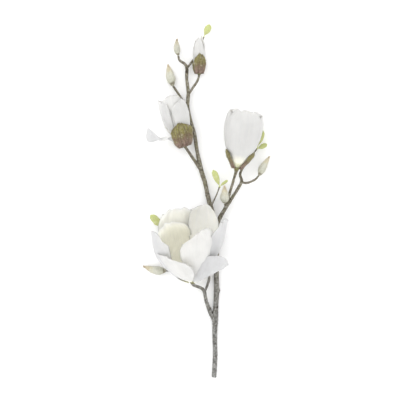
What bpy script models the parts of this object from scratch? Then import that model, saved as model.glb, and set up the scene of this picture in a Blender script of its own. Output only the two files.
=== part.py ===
"""A cut magnolia branch lying on a table: one woody branch, an open flower, a goblet-shaped flower,
a half-open flower, a flower still furled in its bracts, downy buds and young leaves.

Metres, +Z up. The branch lies along +Y with its cut end at -Y, and the flowers look up and along +Y.
The origin is the middle of the lying branch's footprint, on the table. Places are given in
millimetres from the cut end: x to the right, y along the branch, z above the table.
"""

import math
from collections import namedtuple

import bmesh
import bpy
import numpy as np
from mathutils import Vector

MM = 0.001
CUT_END = Vector((0.0136, -0.3113, 0.0))  # where the cut end stands, from the origin
GAP = 0.3  # mm between pieces that touch

PETAL_THICK = 1.2  # mm
BRACT_THICK = 1.4
LEAF_THICK = 1.0
BLADE_ROWS = 9  # stations along a petal
BLADE_COLUMNS = 6  # strips across a petal
STEM_SIDES = 8
BUD_SIDES = 10

Place = namedtuple("Place", "base axis front")
Blade = namedtuple("Blade", "turn foot rise length width lean claw widest tip hug arch lap twist")


def blade(
    turn, foot, rise, length, width, lean, claw=0.16, widest=0.72, tip=0.42, hug=1, arch=2, lap=1.5,
    twist=0,
):
    """A petal, bract or leaf. turn: degrees round the axis from the front. foot and rise: where it
    starts, out from the axis and along it. lean: degrees from the axis, from foot to tip. claw and
    tip: its width at either end, as a share. widest: how far along that is. hug and arch: the bend
    across it, as a share of its distance from the axis plus a radius. lap: how far its right margin
    stands out past its left one. twist: degrees that it has turned about its own length by its tip."""
    return Blade(turn, foot, rise, length, width, lean, claw, widest, tip, hug, arch, lap, twist)


# ---------------------------------------------------------------- materials


def material(name, colour, roughness):
    made = bpy.data.materials.new(name)
    made.use_nodes = True
    shader = made.node_tree.nodes["Principled BSDF"]
    shader.inputs["Base Color"].default_value = (*colour, 1.0)
    shader.inputs["Roughness"].default_value = roughness
    shader.inputs["Metallic"].default_value = 0.0
    return made


def make_materials():
    return {
        "bark": material("bark", (0.40, 0.37, 0.32), 0.85),
        "petal": material("petal", (0.90, 0.89, 0.84), 0.55),
        "bract": material("bract", (0.36, 0.33, 0.16), 0.80),
        "down": material("down", (0.70, 0.69, 0.60), 0.95),
        "leaf": material("leaf", (0.62, 0.68, 0.22), 0.60),
        "cone": material("cone", (0.66, 0.66, 0.32), 0.70),
    }


# ---------------------------------------------------------------- shapes


def from_cut_end(place):
    return CUT_END + Vector(place) * MM


def smooth_line(points, per_span):
    """Stations (x, y, z, radius) along a Catmull-Rom curve through the given ones."""
    points = np.array(points, float)
    ends = np.vstack([2 * points[0] - points[1], points, 2 * points[-1] - points[-2]])
    stations = []
    for before, start, stop, after in zip(ends, ends[1:], ends[2:], ends[3:]):
        for t in np.arange(per_span) / per_span:
            stations.append(
                0.5
                * (
                    2 * start
                    + (stop - before) * t
                    + (2 * before - 5 * start + 4 * stop - after) * t**2
                    + (3 * start - before - 3 * stop + after) * t**3
                )
            )
    stations.append(points[-1])
    return np.array(stations)


def sweep(name, stations, sides, kind):
    """A closed round bar of changing radius along the stations, with flat ends."""
    spine, radii = stations[:, :3], stations[:, 3]
    along = np.gradient(spine, axis=0)
    mesh = bmesh.new()
    rings = []
    side = Vector((0, 0, 1))
    for centre, radius, heading in zip(spine, map(float, radii), along):
        heading = Vector(heading).normalized()
        side = (side - side.dot(heading) * heading).normalized()
        over = heading.cross(side)
        ring = []
        for i in range(sides):
            angle = 2 * math.pi * i / sides
            spoke = math.cos(angle) * side + math.sin(angle) * over
            ring.append(mesh.verts.new(from_cut_end(Vector(centre) + radius * spoke)))
        rings.append(ring)
    for lower, upper in zip(rings, rings[1:]):
        for i in range(sides):
            j = (i + 1) % sides
            mesh.faces.new((lower[i], lower[j], upper[j], upper[i]))
    mesh.faces.new(reversed(rings[0]))
    mesh.faces.new(rings[-1])
    return finish(name, mesh, kind)


def outline(v, shape):
    """The half width of a petal at v along it, as a share: a claw, a broad blade, a blunt tip."""
    if v < shape.widest:
        return shape.claw + (1 - shape.claw) * math.sin(math.pi / 2 * v / shape.widest) ** 1.3
    past = (v - shape.widest) / (1 - shape.widest)
    return max(shape.tip, math.sqrt(1 - past**2.3))


def blade_grid(place, shape, rows, columns):
    """Rows of points on the middle surface of a petal, bract or leaf."""
    steps = 12
    share = np.linspace(0, 1, rows * steps + 1)
    angles = np.radians(np.interp(share, np.linspace(0, 1, len(shape.lean)), shape.lean))
    stride = shape.length / (rows * steps)
    out = (shape.foot + np.cumsum(np.sin(angles)) * stride)[::steps].tolist()
    up = (shape.rise + np.cumsum(np.cos(angles)) * stride)[::steps].tolist()
    turn = math.radians(shape.turn)
    right = place.axis.cross(place.front)
    away = math.cos(turn) * place.front + math.sin(turn) * right
    across = math.cos(turn) * right - math.sin(turn) * place.front
    grid = []
    for k, (radius, height) in enumerate(zip(out, up)):
        v = k / rows
        bend = shape.hug * radius + shape.arch
        twist = math.radians(shape.twist) * math.sin(math.pi / 2 * v)
        row = []
        for u in np.linspace(-1, 1, columns + 1).tolist():
            arc = u * shape.width / 2 * outline(v, shape) / bend
            sag, side = bend * math.cos(arc) - bend, bend * math.sin(arc)
            outward = radius + sag * math.cos(twist) + side * math.sin(twist)
            outward += shape.lap * u * math.sqrt(v)
            sideways = side * math.cos(twist) - sag * math.sin(twist)
            row.append(place.base + height * place.axis + outward * away + sideways * across)
        grid.append(row)
    return grid


def make_blade(name, place, shape, kind, thick, rows=BLADE_ROWS, columns=BLADE_COLUMNS):
    mesh = bmesh.new()
    grid = [
        [mesh.verts.new(from_cut_end(p)) for p in row]
        for row in blade_grid(place, shape, rows, columns)
    ]
    for lower, upper in zip(grid, grid[1:]):
        for i in range(columns):
            mesh.faces.new((lower[i], lower[i + 1], upper[i + 1], upper[i]))
    made = finish(name, mesh, kind)
    solid = made.modifiers.new("thickness", "SOLIDIFY")
    solid.thickness = thick * MM
    solid.offset = 0
    return made


def finish(name, mesh, kind):
    data = bpy.data.meshes.new(name)
    mesh.to_mesh(data)
    mesh.free()
    data.materials.append(kind)
    data.shade_smooth()
    data.set_sharp_from_angle(angle=math.radians(50))
    made = bpy.data.objects.new(name, data)
    bpy.context.scene.collection.objects.link(made)
    return made


def helper(made):
    """Keeps a shape out of the model: it only serves a Boolean."""
    made.hide_render = True
    made.display_type = "WIRE"
    return made


# ---------------------------------------------------------------- stems

# Each line is a stem's route: x, y, z and radius, from inside its parent to its tip.
MAIN_STEM = [
    (0, 0, 4.1, 4.1),
    (2, 37, 4.4, 4.0),
    (1.5, 68, 4.8, 4.0),
    (2, 102, 5.4, 4.9),
    (3.5, 130, 5.4, 4.5),
    (4.7, 156, 5.8, 4.7),
    (4, 190, 6.0, 4.4),
    (5, 228, 6.4, 4.4),
    (3.5, 267, 7.4, 4.8),
    (-8.5, 310, 9, 4.0),
    (-16, 344, 10, 3.7),
    (-22, 363, 11, 4.1),
    (-30, 400, 11, 3.3),
    (-34, 427, 11, 3.4),
    (-42, 455, 11, 3.1),
    (-46.5, 476, 12, 3.3),
    (-45, 500, 12.5, 3.2),
    (-48, 525, 13, 2.8),
    (-48.5, 548, 13, 2.9),
    (-60.5, 558, 13.5, 2.1),
    (-62.7, 566, 13, 1.9),
]
LOWER_SHOOT = [
    (1.5, 98, 5.4, 3.2),
    (-7.4, 117, 8, 3.5),
    (-14, 136, 11, 3.2),
    (-18, 154, 17, 3.1),
    (-28, 161, 30, 2.5),
    (-35.5, 164.5, 37, 2.9),
    (-36.9, 171, 40.7, 5.3),
    (-37.3, 177, 43.3, 5.0),
]
LOWER_SPUR = [
    (-17, 150, 15, 2.2),
    (-10, 168, 11, 2.2),
    (-9, 182, 8, 2.1),
    (-15, 204, 2.6, 1.8),
    (-36, 231, 2.8, 1.7),
    (-64, 252, 10, 1.6),
    (-88, 264, 16, 1.4),
]
LEFT_BUD_TWIG = [
    (-9.8, 188, 7.2, 1.6),
    (-28, 191, 6.0, 1.7),
    (-52, 188, 7, 1.7),
    (-84, 188, 9, 1.6),
]
RIGHT_SHOOT = [
    (3, 262, 7.3, 3.2),
    (10, 281, 9.5, 3.7),
    (18, 294.5, 11.5, 3.4),
    (29.7, 313.6, 13.5, 2.9),
    (40.4, 330, 15, 2.7),
    (48.6, 346, 16, 2.6),
    (45.8, 359, 15, 2.2),
    (56.4, 377.5, 11, 1.9),
    (75.4, 403, 11, 1.5),
]
RIGHT_BUD_TWIG = [
    (47.8, 344, 15.9, 1.8),
    (58, 342.5, 17, 2.0),
    (71.5, 348, 17, 1.8),
    (78.7, 355.4, 16, 1.7),
]
GOBLET_STALK = [
    (17, 293, 11.3, 2.2),
    (24, 313, 19, 2.4),
    (31, 337, 27, 2.3),
    (37.4, 359, 33, 2.4),
    (38.7, 365, 34, 3.5),
    (39.6, 370, 34, 3.4),
]
MIDDLE_BUD_TWIG = [
    (29, 311, 13.2, 1.7),
    (27, 307, 19, 1.9),
    (21, 304, 25, 1.8),
    (18, 305.5, 27.1, 1.7),
]
MIDDLE_LEAF_TWIG = [
    (-5.5, 300, 8.6, 1.3),
    (5, 323, 16, 1.3),
    (9.7, 336.5, 20, 1.2),
]
HALF_OPEN_STALK = [
    (-19, 354, 10.5, 2.4),
    (-27, 371, 14.5, 2.9),
    (-41, 391.6, 21, 2.5),
    (-49.5, 404, 24, 2.6),
    (-51.5, 408.5, 26, 3.6),
    (-53.2, 413.5, 26.1, 3.4),
]
UPPER_BUD_TWIG = [
    (-45.8, 468, 11.6, 2.0),
    (-50.5, 480, 11.5, 2.1),
    (-65, 503, 10.5, 1.9),
    (-72, 513, 10, 2.0),
]
TOP_FLOWER_STALK = [
    (-45.2, 497, 12.5, 2.0),
    (-37, 510, 14, 2.2),
    (-29.5, 521, 16, 2.0),
    (-26.4, 530, 17, 1.9),
    (-26.1, 534, 17, 2.7),
    (-26, 538, 17, 2.6),
]
TOP_LEAF_TWIG = [
    (-48.7, 542, 13, 1.8),
    (-40, 555, 7, 1.9),
    (-33, 564, 3, 1.6),
    (-26, 578, 2, 1.4),
    (-17.4, 600.6, 7, 1.1),
]
# Each side stem: the stem that it grows from, and its route.
SIDE_STEMS = {
    "lower_shoot": ("main_stem", LOWER_SHOOT),
    "lower_spur": ("lower_shoot", LOWER_SPUR),
    "left_bud_twig": ("lower_spur", LEFT_BUD_TWIG),
    "right_shoot": ("main_stem", RIGHT_SHOOT),
    "right_bud_twig": ("right_shoot", RIGHT_BUD_TWIG),
    "goblet_flower_stalk": ("right_shoot", GOBLET_STALK),
    "middle_bud_twig": ("right_shoot", MIDDLE_BUD_TWIG),
    "middle_leaf_twig": ("main_stem", MIDDLE_LEAF_TWIG),
    "half_open_flower_stalk": ("main_stem", HALF_OPEN_STALK),
    "upper_bud_twig": ("main_stem", UPPER_BUD_TWIG),
    "top_flower_stalk": ("main_stem", TOP_FLOWER_STALK),
    "top_leaf_twig": ("main_stem", TOP_LEAF_TWIG),
}
STEM_STEPS = 3  # stations between two points of a route


def make_stems(kind):
    """The main stem, and each side stem ending in a saddle that fits the stem it grows from."""
    routes = {"main_stem": smooth_line(MAIN_STEM, STEM_STEPS)}
    sweep("main_stem", routes["main_stem"], STEM_SIDES, kind)
    for name, (parent, route) in SIDE_STEMS.items():
        routes[name] = smooth_line(route, STEM_STEPS)
        stem = sweep(name, routes[name], STEM_SIDES, kind)
        swollen = routes[parent] + (0, 0, 0, GAP)
        saddle = stem.modifiers.new("saddle", "BOOLEAN")
        saddle.operation = "DIFFERENCE"
        saddle.solver = "EXACT"
        saddle.object = helper(sweep(f"{name}_saddle", swollen, STEM_SIDES, kind))


# ---------------------------------------------------------------- flowers


def place_of(base, heading, front):
    """A flower's frame: its base in millimetres, its axis, and its front square to the axis."""
    axis = Vector(heading).normalized()
    front = Vector(front)
    front = (front - front.dot(axis) * axis).normalized()
    return Place(Vector(base), axis, front)


UP = (0, 0, 1)
OPEN_FLOWER = place_of((-37, 174, 42), (-0.09, 0.92, 0.39), UP)
GOBLET_FLOWER = place_of((39.4, 369, 34.4), (0.17, 0.985, 0.0), UP)
HALF_OPEN_FLOWER = place_of((-52.6, 411.5, 26.1), (-0.33, 0.944, 0.0), UP)
TOP_FLOWER = place_of((-26, 537, 17), (-0.01, 1.0, 0.02), UP)

OPEN_PETALS = [
    # inner whorl
    blade(42, 6.2, 2.2, 113, 81, (50, 16, -10), claw=0.14),
    blade(136, 6.2, 2.2, 134, 74, (50, 18, 0), claw=0.14),
    blade(230, 6.2, 2.2, 108, 80, (56, 23, -14), claw=0.14),
    # middle whorl
    blade(195, 6.4, -0.5, 130, 80, (57, 26, -2)),
    blade(99, 6.4, -0.5, 124, 70, (58, 29, 2), twist=30),
    blade(305, 6.4, -0.5, 84, 78, (62, 38, 4), twist=-6),
    # outer whorl
    blade(54, 6.6, -3.2, 86, 72, (64, 44, 14), tip=0.2, twist=34),
    blade(158, 6.6, -3.2, 136, 62, (58, 26, -2)),
    blade(262, 6.6, -3.2, 126, 70, (66, 38, -16), twist=-26),
]
GOBLET_PETALS = [
    blade(turn, 4.5, 1.5, 104, 58, (32, 15, -22), claw=0.13, lap=0.8) for turn in (60, 180, 300)
] + [
    blade(turn, 5.6, -0.5, 106, 66, (36, 17, -22), claw=0.14, lap=0.8) for turn in (0, 120, 240)
]
HALF_OPEN_PETALS = [
    blade(turn, 4.4, 1.5, 88, 42, (30, 11, -20), tip=0.2, lap=0.9) for turn in (15, 140, 262)
] + [
    blade(turn, 5.8, -1.0, length, 42, (36, 14, -14), claw=0.18, tip=0.2, lap=0.9)
    for turn, length in ((62, 80), (195, 82))
] + [
    # the one that has fallen open
    blade(290, 7.2, -3, 78, 24, (36, 38, 38, 46, 112, 85, 15, 0, 5), arch=14, twist=-50),
]
TOP_PETALS = [
    blade(turn, 3.4, 1.0, length, 18, (24, 0, -24), claw=0.22, widest=0.45, tip=0.12, lap=0.5)
    for turn, length in ((0, 56), (120, 60), (240, 54))
]
GOBLET_BRACTS = [
    blade(300, 7.2, -2.5, 36, 18, (38, 36, 18), claw=0.45),
    blade(75, 7.2, -2.5, 38, 20, (38, 34, 16), claw=0.45),
]
HALF_OPEN_BRACTS = [
    blade(10, 8.2, -6, 46, 44, (50, 20, 0), claw=0.45, widest=0.55, tip=0.5),
    blade(185, 9.2, -6, 38, 36, (50, 20, 0), claw=0.45, widest=0.55, tip=0.5),
]
TOP_BRACTS = [
    blade(10, 6.0, -3, 37, 22, (40, 6, -10), claw=0.5, widest=0.5, tip=0.5, lap=1.0),
    blade(190, 6.5, -3, 30, 22, (40, 6, -6), claw=0.5, widest=0.5, tip=0.5, lap=1.0),
]
FLOWERS = {
    "open_flower": (OPEN_FLOWER, OPEN_PETALS, []),
    "goblet_flower": (GOBLET_FLOWER, GOBLET_PETALS, GOBLET_BRACTS),
    "half_open_flower": (HALF_OPEN_FLOWER, HALF_OPEN_PETALS, HALF_OPEN_BRACTS),
    "top_flower": (TOP_FLOWER, TOP_PETALS, TOP_BRACTS),
}


def make_flowers(kinds):
    for flower, (place, petals, bracts) in FLOWERS.items():
        for i, shape in enumerate(petals, 1):
            make_blade(f"{flower}_petal_{i}", place, shape, kinds["petal"], PETAL_THICK)
        for i, shape in enumerate(bracts, 1):
            make_blade(
                f"{flower}_bract_{i}", place, shape, kinds["bract"], BRACT_THICK, rows=6
            )


# ---------------------------------------------------------------- buds and leaves

# A downy bud: where it starts, the middle and the tip of its spine, and its greatest radius.
BUDS = {
    "left_bud": ((-84.4, 188, 9), (-104, 189, 7.1), (-125, 196, 8), 7.5),
    "middle_bud": ((18, 307, 28.2), (18.5, 320, 31), (18, 337, 32), 8.0),
    "right_bud": ((79.0, 355.8, 16), (87, 372, 15), (97.3, 389, 16), 6.8),
    "upper_left_bud": ((-72.5, 513.7, 10), (-77, 532, 8), (-81, 551, 9), 8.2),
    "top_bud": ((-62.9, 566.5, 13), (-65.5, 581, 12), (-65, 596, 13), 5.6),
}
BUD_SHAPE = [(0.0, 0.34), (0.12, 0.72), (0.32, 1.0), (0.55, 0.86), (0.8, 0.46), (1.0, 0.14)]


def make_bud(name, start, middle, tip, radius, kind):
    spine = smooth_line([(*start, 0), (*middle, 0), (*tip, 0)], 5)
    share = np.linspace(0, 1, len(spine))
    at, size = zip(*BUD_SHAPE)
    spine[:, 3] = radius * np.interp(share, at, size)
    sweep(name, spine, BUD_SIDES, kind)


LEAVES = {
    "left_leaf": (
        place_of((-90, 265.5, 17), (-0.72, 0.69, 0.1), UP),
        blade(0, 0, 0, 30, 15, (12, 0, -10), claw=0.12, widest=0.5, hug=0, arch=8, lap=0),
    ),
    "middle_leaf": (
        place_of((9.2, 338.5, 20.6), (-0.36, 0.9, 0.12), UP),
        blade(0, 0, 0, 29, 10.5, (8, 0, -10), claw=0.14, widest=0.5, hug=0, arch=7, lap=0),
    ),
    "middle_leaflet": (
        place_of((11.5, 337.8, 20.8), (0.78, 0.6, 0.15), UP),
        blade(0, 0, 0, 16, 5, (8, 0, -10), claw=0.3, widest=0.5, hug=0, arch=5, lap=0),
    ),
    "right_leaf_upper": (
        place_of((77.5, 408, 11.4), (0.32, 0.94, 0.1), (-0.6, 0, 0.8)),
        blade(0, 0, 0, 28, 11, (6, 0, -8), claw=0.14, widest=0.5, hug=0, arch=7, lap=0),
    ),
    "right_leaf_lower": (
        place_of((78, 403.5, 11.4), (0.9, 0.42, 0.12), UP),
        blade(0, 0, 0, 17, 9, (8, 0, -12), claw=0.2, widest=0.5, hug=0, arch=6, lap=0),
    ),
    "top_leaf": (
        place_of((-16.6, 603, 7.4), (0.45, 0.88, 0.12), UP),
        blade(0, 0, 0, 21, 12, (4, 0, -10), claw=0.16, widest=0.5, hug=0, arch=7, lap=0),
    ),
}
CONES = {
    "open_flower_cone": (OPEN_FLOWER, 3.9, 26, 4.6),
    "goblet_flower_cone": (GOBLET_FLOWER, 5.0, 16, 2.6),
    "half_open_flower_cone": (HALF_OPEN_FLOWER, 5.0, 14, 2.6),
}
CONE_SHAPE = [(0.0, 0.75), (0.2, 1.0), (0.6, 0.9), (0.85, 0.6), (1.0, 0.2)]


def make_cone(name, place, rise, length, radius, kind):
    """The carpels in the middle of a flower."""
    at, size = zip(*CONE_SHAPE)
    stations = [
        (*(place.base + place.axis * (rise + length * a)), radius * s) for a, s in zip(at, size)
    ]
    sweep(name, np.array(stations), BUD_SIDES, kind)


def main():
    for old in list(bpy.data.objects):
        bpy.data.objects.remove(old)
    kinds = make_materials()
    make_stems(kinds["bark"])
    make_flowers(kinds)
    for name, (place, rise, length, radius) in CONES.items():
        make_cone(name, place, rise, length, radius, kinds["cone"])
    for name, (start, middle, tip, radius) in BUDS.items():
        make_bud(name, start, middle, tip, radius, kinds["down"])
    for name, (place, shape) in LEAVES.items():
        make_blade(name, place, shape, kinds["leaf"], LEAF_THICK, rows=6, columns=4)


main()
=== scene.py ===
import math
from collections import namedtuple
from typing import NamedTuple

import bmesh
import bpy
import numpy as np
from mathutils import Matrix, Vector, noise


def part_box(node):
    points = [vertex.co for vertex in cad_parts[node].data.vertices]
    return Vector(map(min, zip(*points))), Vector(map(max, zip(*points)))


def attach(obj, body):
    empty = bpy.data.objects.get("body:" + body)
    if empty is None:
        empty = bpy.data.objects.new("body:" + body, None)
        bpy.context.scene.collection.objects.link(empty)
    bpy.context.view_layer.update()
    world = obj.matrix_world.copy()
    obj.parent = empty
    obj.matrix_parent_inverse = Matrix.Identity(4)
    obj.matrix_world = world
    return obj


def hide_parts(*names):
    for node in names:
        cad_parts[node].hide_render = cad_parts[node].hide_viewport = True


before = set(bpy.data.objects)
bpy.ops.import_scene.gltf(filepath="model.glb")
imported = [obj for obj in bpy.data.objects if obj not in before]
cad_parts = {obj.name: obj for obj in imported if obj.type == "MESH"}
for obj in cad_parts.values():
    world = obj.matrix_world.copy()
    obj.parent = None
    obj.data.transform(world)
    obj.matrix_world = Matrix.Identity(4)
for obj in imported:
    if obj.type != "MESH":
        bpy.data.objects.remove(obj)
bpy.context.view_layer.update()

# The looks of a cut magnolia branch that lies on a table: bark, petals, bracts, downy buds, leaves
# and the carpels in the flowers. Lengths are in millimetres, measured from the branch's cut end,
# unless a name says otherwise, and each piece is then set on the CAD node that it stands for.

MM = 0.001
CUT_END = np.array((0.0136, -0.3113, 0.0))
UP = np.array((0.0, 0.0, 1.0))
FINE_STEPS = 108  # steps along a blade when its curve is summed
SIDE_VEINS = 9  # on each side of a leaf, in its relief and in its colour
MARKS = ("along", "across", "inside", "tone")  # what each point carries to its material

Place = namedtuple("Place", "base axis front")


class Blade(NamedTuple):
    """A petal, bract or leaf as the CAD shapes it, before its looks."""

    turn: float  # degrees round the flower's axis from its front
    foot: float  # how far out it starts
    rise: float  # how far up it starts
    length: float
    width: float
    lean: tuple  # degrees off the axis at even steps along it
    claw: float = 0.16  # the foot's width, as a share
    widest: float = 0.72  # where along it is widest
    tip: float = 0.42  # the tip's width, as a share
    hug: float = 1  # how much its cross-section bends round the axis
    arch: float = 2  # the least radius of that bend
    lap: float = 1.5  # how far one margin stands out past the next petal's
    twist: float = 0  # degrees about its own length by the tip


class Look(NamedTuple):
    """How a blade departs from its smooth shape."""

    # millimetres, + away from the flower
    wave: float = 2.0
    ruffle: float = 2.4
    crinkle: float = 1.1
    rib: float = 0.25
    roll_left: float = 0
    roll_right: float = 0
    roll_tip: float = 0
    crease: float = 0.8
    # how far the corners of the tip are cut back, as a share, and how round that leaves them
    bow: float = 0.12
    point: float = 2.5
    tone: float = 0.3  # how cream it is inside
    fuller: float = 1.0  # how much wider it is than the plain blade
    end: float = 0.0  # the least width of its tip, as a share
    trim: float = 1.0  # how long it is beside the plain blade
    close: float = 0  # degrees that it closes by its tip
    drop: float = 0  # how far its right margin hangs to the foot, or its left one if below 0
    painted_shade: bool = False  # it takes the greyer copy of the petal white, as painted shade


# ---------------------------------------------------------------- numbers


def unit(vector):
    vector = np.asarray(vector, float)
    return vector / np.linalg.norm(vector)


def smooth_step(low, high, x):
    t = np.clip((x - low) / (high - low), 0, 1)
    return t * t * (3 - 2 * t)


def noise_at(points, seed=0.0):
    """Smooth noise between about -1 and 1 at each row of points."""
    points = np.asarray(points, float)
    flat = points.reshape(-1, 3) + (seed * 7.31, seed * 3.17, seed * 5.71)
    values = [noise.noise(Vector(p)) for p in flat.tolist()]
    return np.array(values).reshape(points.shape[:-1])


def noise_of(seed, *fields):
    """Smooth noise over up to three fields of the same shape."""
    fields = np.broadcast_arrays(*fields, *[0.0] * (3 - len(fields)))
    return noise_at(np.stack(fields, axis=-1), seed)


def smooth_line(points, per_span):
    """Stations along a Catmull-Rom curve through the given ones."""
    points = np.array(points, float)
    ends = np.vstack([2 * points[0] - points[1], points, 2 * points[-1] - points[-2]])
    stations = []
    for before, start, stop, after in zip(ends, ends[1:], ends[2:], ends[3:]):
        for t in np.arange(per_span) / per_span:
            stations.append(
                0.5
                * (
                    2 * start
                    + (stop - before) * t
                    + (2 * before - 5 * start + 4 * stop - after) * t**2
                    + (3 * start - before - 3 * stop + after) * t**3
                )
            )
    stations.append(points[-1])
    return np.array(stations)


# ---------------------------------------------------------------- shapes


def link(name, data):
    made = bpy.data.objects.new(name, data)
    bpy.context.scene.collection.objects.link(made)
    return made


def object_of(name, data, marks, material):
    """The mesh as a smooth object of one material, with its marks on its points."""
    for mark, values in zip(MARKS, marks):
        held = data.attributes.new(mark, "FLOAT", "POINT")
        held.data.foreach_set("value", values)
    data.materials.clear()
    data.materials.append(material)
    data.shade_smooth()
    data.update()
    return link(name, data)


class Shape:
    """Points, faces and marks, gathered before they become one object."""

    def __init__(self):
        self.points, self.faces, self.count = [], [], 0
        self.marks = {mark: [] for mark in MARKS}

    def add(self, points, faces, **marks):
        points = np.asarray(points, float).reshape(-1, 3)
        self.points.append(points)
        self.faces += [tuple(i + self.count for i in face) for face in faces]
        self.count += len(points)
        for mark in MARKS:
            value = np.asarray(marks.get(mark, 0.0), float)
            self.marks[mark].append(np.broadcast_to(value.reshape(-1), (len(points),)))

    def build(self, name, material, shift=(0, 0, 0)):
        data = bpy.data.meshes.new(name)
        points = CUT_END + np.vstack(self.points) * MM + np.asarray(shift)
        data.from_pydata(points.tolist(), [], self.faces)
        return object_of(name, data, [np.concatenate(self.marks[m]) for m in MARKS], material)


def place_piece(piece, slot, *nodes):
    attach(piece, "root")
    if nodes:
        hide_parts(*nodes)


def shift_onto(node, points):
    """What moves the node's plain points onto the CAD node, in metres."""
    low, high = (np.array(corner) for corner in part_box(node))
    points = CUT_END + np.asarray(points, float).reshape(-1, 3) * MM
    return (low + high) / 2 - (points.min(0) + points.max(0)) / 2


def tube(spine, radii, sides):
    """Points and faces of a closed round bar along the spine, with a point at each end, and how far
    along and round it each point is."""
    spine, radii = np.asarray(spine, float), np.asarray(radii, float)
    rings, side = [], np.array((0.31, 0.12, 0.94))
    for centre, radius, heading in zip(spine, radii, np.gradient(spine, axis=0)):
        heading = unit(heading)
        side = unit(side - side.dot(heading) * heading)
        over = np.cross(heading, side)
        angle = 2 * math.pi * np.arange(sides)[:, None] / sides
        rings.append(centre + radius * (np.cos(angle) * side + np.sin(angle) * over))
    count = len(spine)
    points = np.vstack([*rings, spine[:1], spine[-1:]])
    faces = []
    for k in range(count - 1):
        for i in range(sides):
            j = (i + 1) % sides
            faces.append((k * sides + i, k * sides + j, (k + 1) * sides + j, (k + 1) * sides + i))
    first, last = count * sides, count * sides + 1
    for i in range(sides):
        j = (i + 1) % sides
        faces.append((first, j, i))
        faces.append((last, (count - 1) * sides + i, (count - 1) * sides + j))
    along = np.append(np.repeat(np.linspace(0, 1, count), sides), (0, 1))
    around = np.append(np.tile(np.arange(sides) / sides, count), (0, 0))
    return points, faces, along, around


def strands(shape, roots, headings, lengths, radius, random, along, droop=0.25, tone=0.5):
    """Adds thin tapering hairs, each a closed three-sided spike with a bend in it."""
    sides, bends = 3, (0.0, 0.5)
    for i, (root, heading, length) in enumerate(zip(roots, headings, lengths)):
        heading = unit(heading)
        side = unit(np.cross(heading, (0.21, 0.34, 0.92)))
        over = np.cross(heading, side)
        lean = random.normal(0, droop, 2)
        points = []
        for share in bends:
            middle = root + heading * length * share
            middle = middle + (side * lean[0] + over * lean[1]) * length * share**2
            for k in range(sides):
                angle = 2 * math.pi * k / sides
                spoke = math.cos(angle) * side + math.sin(angle) * over
                points.append(middle + radius * (1 - 0.4 * share) * spoke)
        points.append(root + heading * length + (side * lean[0] + over * lean[1]) * length)
        faces = [(2, 1, 0)]
        for k in range(sides):
            j = (k + 1) % sides
            faces += [(k, j, sides + j, sides + k), (sides + k, sides + j, 2 * sides)]
        shape.add(points, faces, along=along[i], across=0.5, inside=1.0, tone=tone)


def outline(v, shape):
    """The half width of a blade at v along it, as a share."""
    rising = shape.claw + (1 - shape.claw) * (
        np.sin(math.pi / 2 * np.clip(v / shape.widest, 0, 1)) ** 1.3
    )
    past = np.clip((v - shape.widest) / (1 - shape.widest), 0, 1)
    falling = np.maximum(shape.tip, np.sqrt(1 - past**2.3))
    return np.where(v < shape.widest, rising, falling)


def blade_points(place, shape, u, v, reach):
    """Points of a blade's smooth middle surface at u across and reach along."""
    share = np.linspace(0, 1, FINE_STEPS + 1)
    angles = np.radians(np.interp(share, np.linspace(0, 1, len(shape.lean)), shape.lean))
    stride = shape.length / FINE_STEPS
    out = np.interp(reach, share, shape.foot + np.cumsum(np.sin(angles)) * stride)
    up = np.interp(reach, share, shape.rise + np.cumsum(np.cos(angles)) * stride)
    bend = shape.hug * out + shape.arch
    arc = u * shape.width / 2 * outline(reach, shape) / bend
    sag, side = bend * np.cos(arc) - bend, bend * np.sin(arc)
    twist = math.radians(shape.twist) * np.sin(math.pi / 2 * v)
    outward = out + sag * np.cos(twist) + side * np.sin(twist) + shape.lap * u * np.sqrt(v)
    sideways = side * np.cos(twist) - sag * np.sin(twist)
    turn = math.radians(shape.turn)
    right = np.cross(place.axis, place.front)
    away = math.cos(turn) * place.front + math.sin(turn) * right
    across = math.cos(turn) * right - math.sin(turn) * place.front
    return (
        place.base
        + up[..., None] * place.axis
        + outward[..., None] * away
        + sideways[..., None] * across
    )


def plain_blade(place, shape):
    """About the points that the blade has in the CAD."""
    v, u = np.meshgrid(np.linspace(0, 1, 10), np.linspace(-1, 1, 7), indexing="ij")
    return blade_points(place, shape, u, v, v)


def normals_of(grid):
    """Unit vectors off a grid of points and across it."""
    across, along = np.gradient(grid, axis=1), np.gradient(grid, axis=0)
    normal = np.cross(across, along)
    normal /= np.linalg.norm(normal, axis=-1, keepdims=True) + 1e-9
    return normal, across / (np.linalg.norm(across, axis=-1, keepdims=True) + 1e-9)


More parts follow.
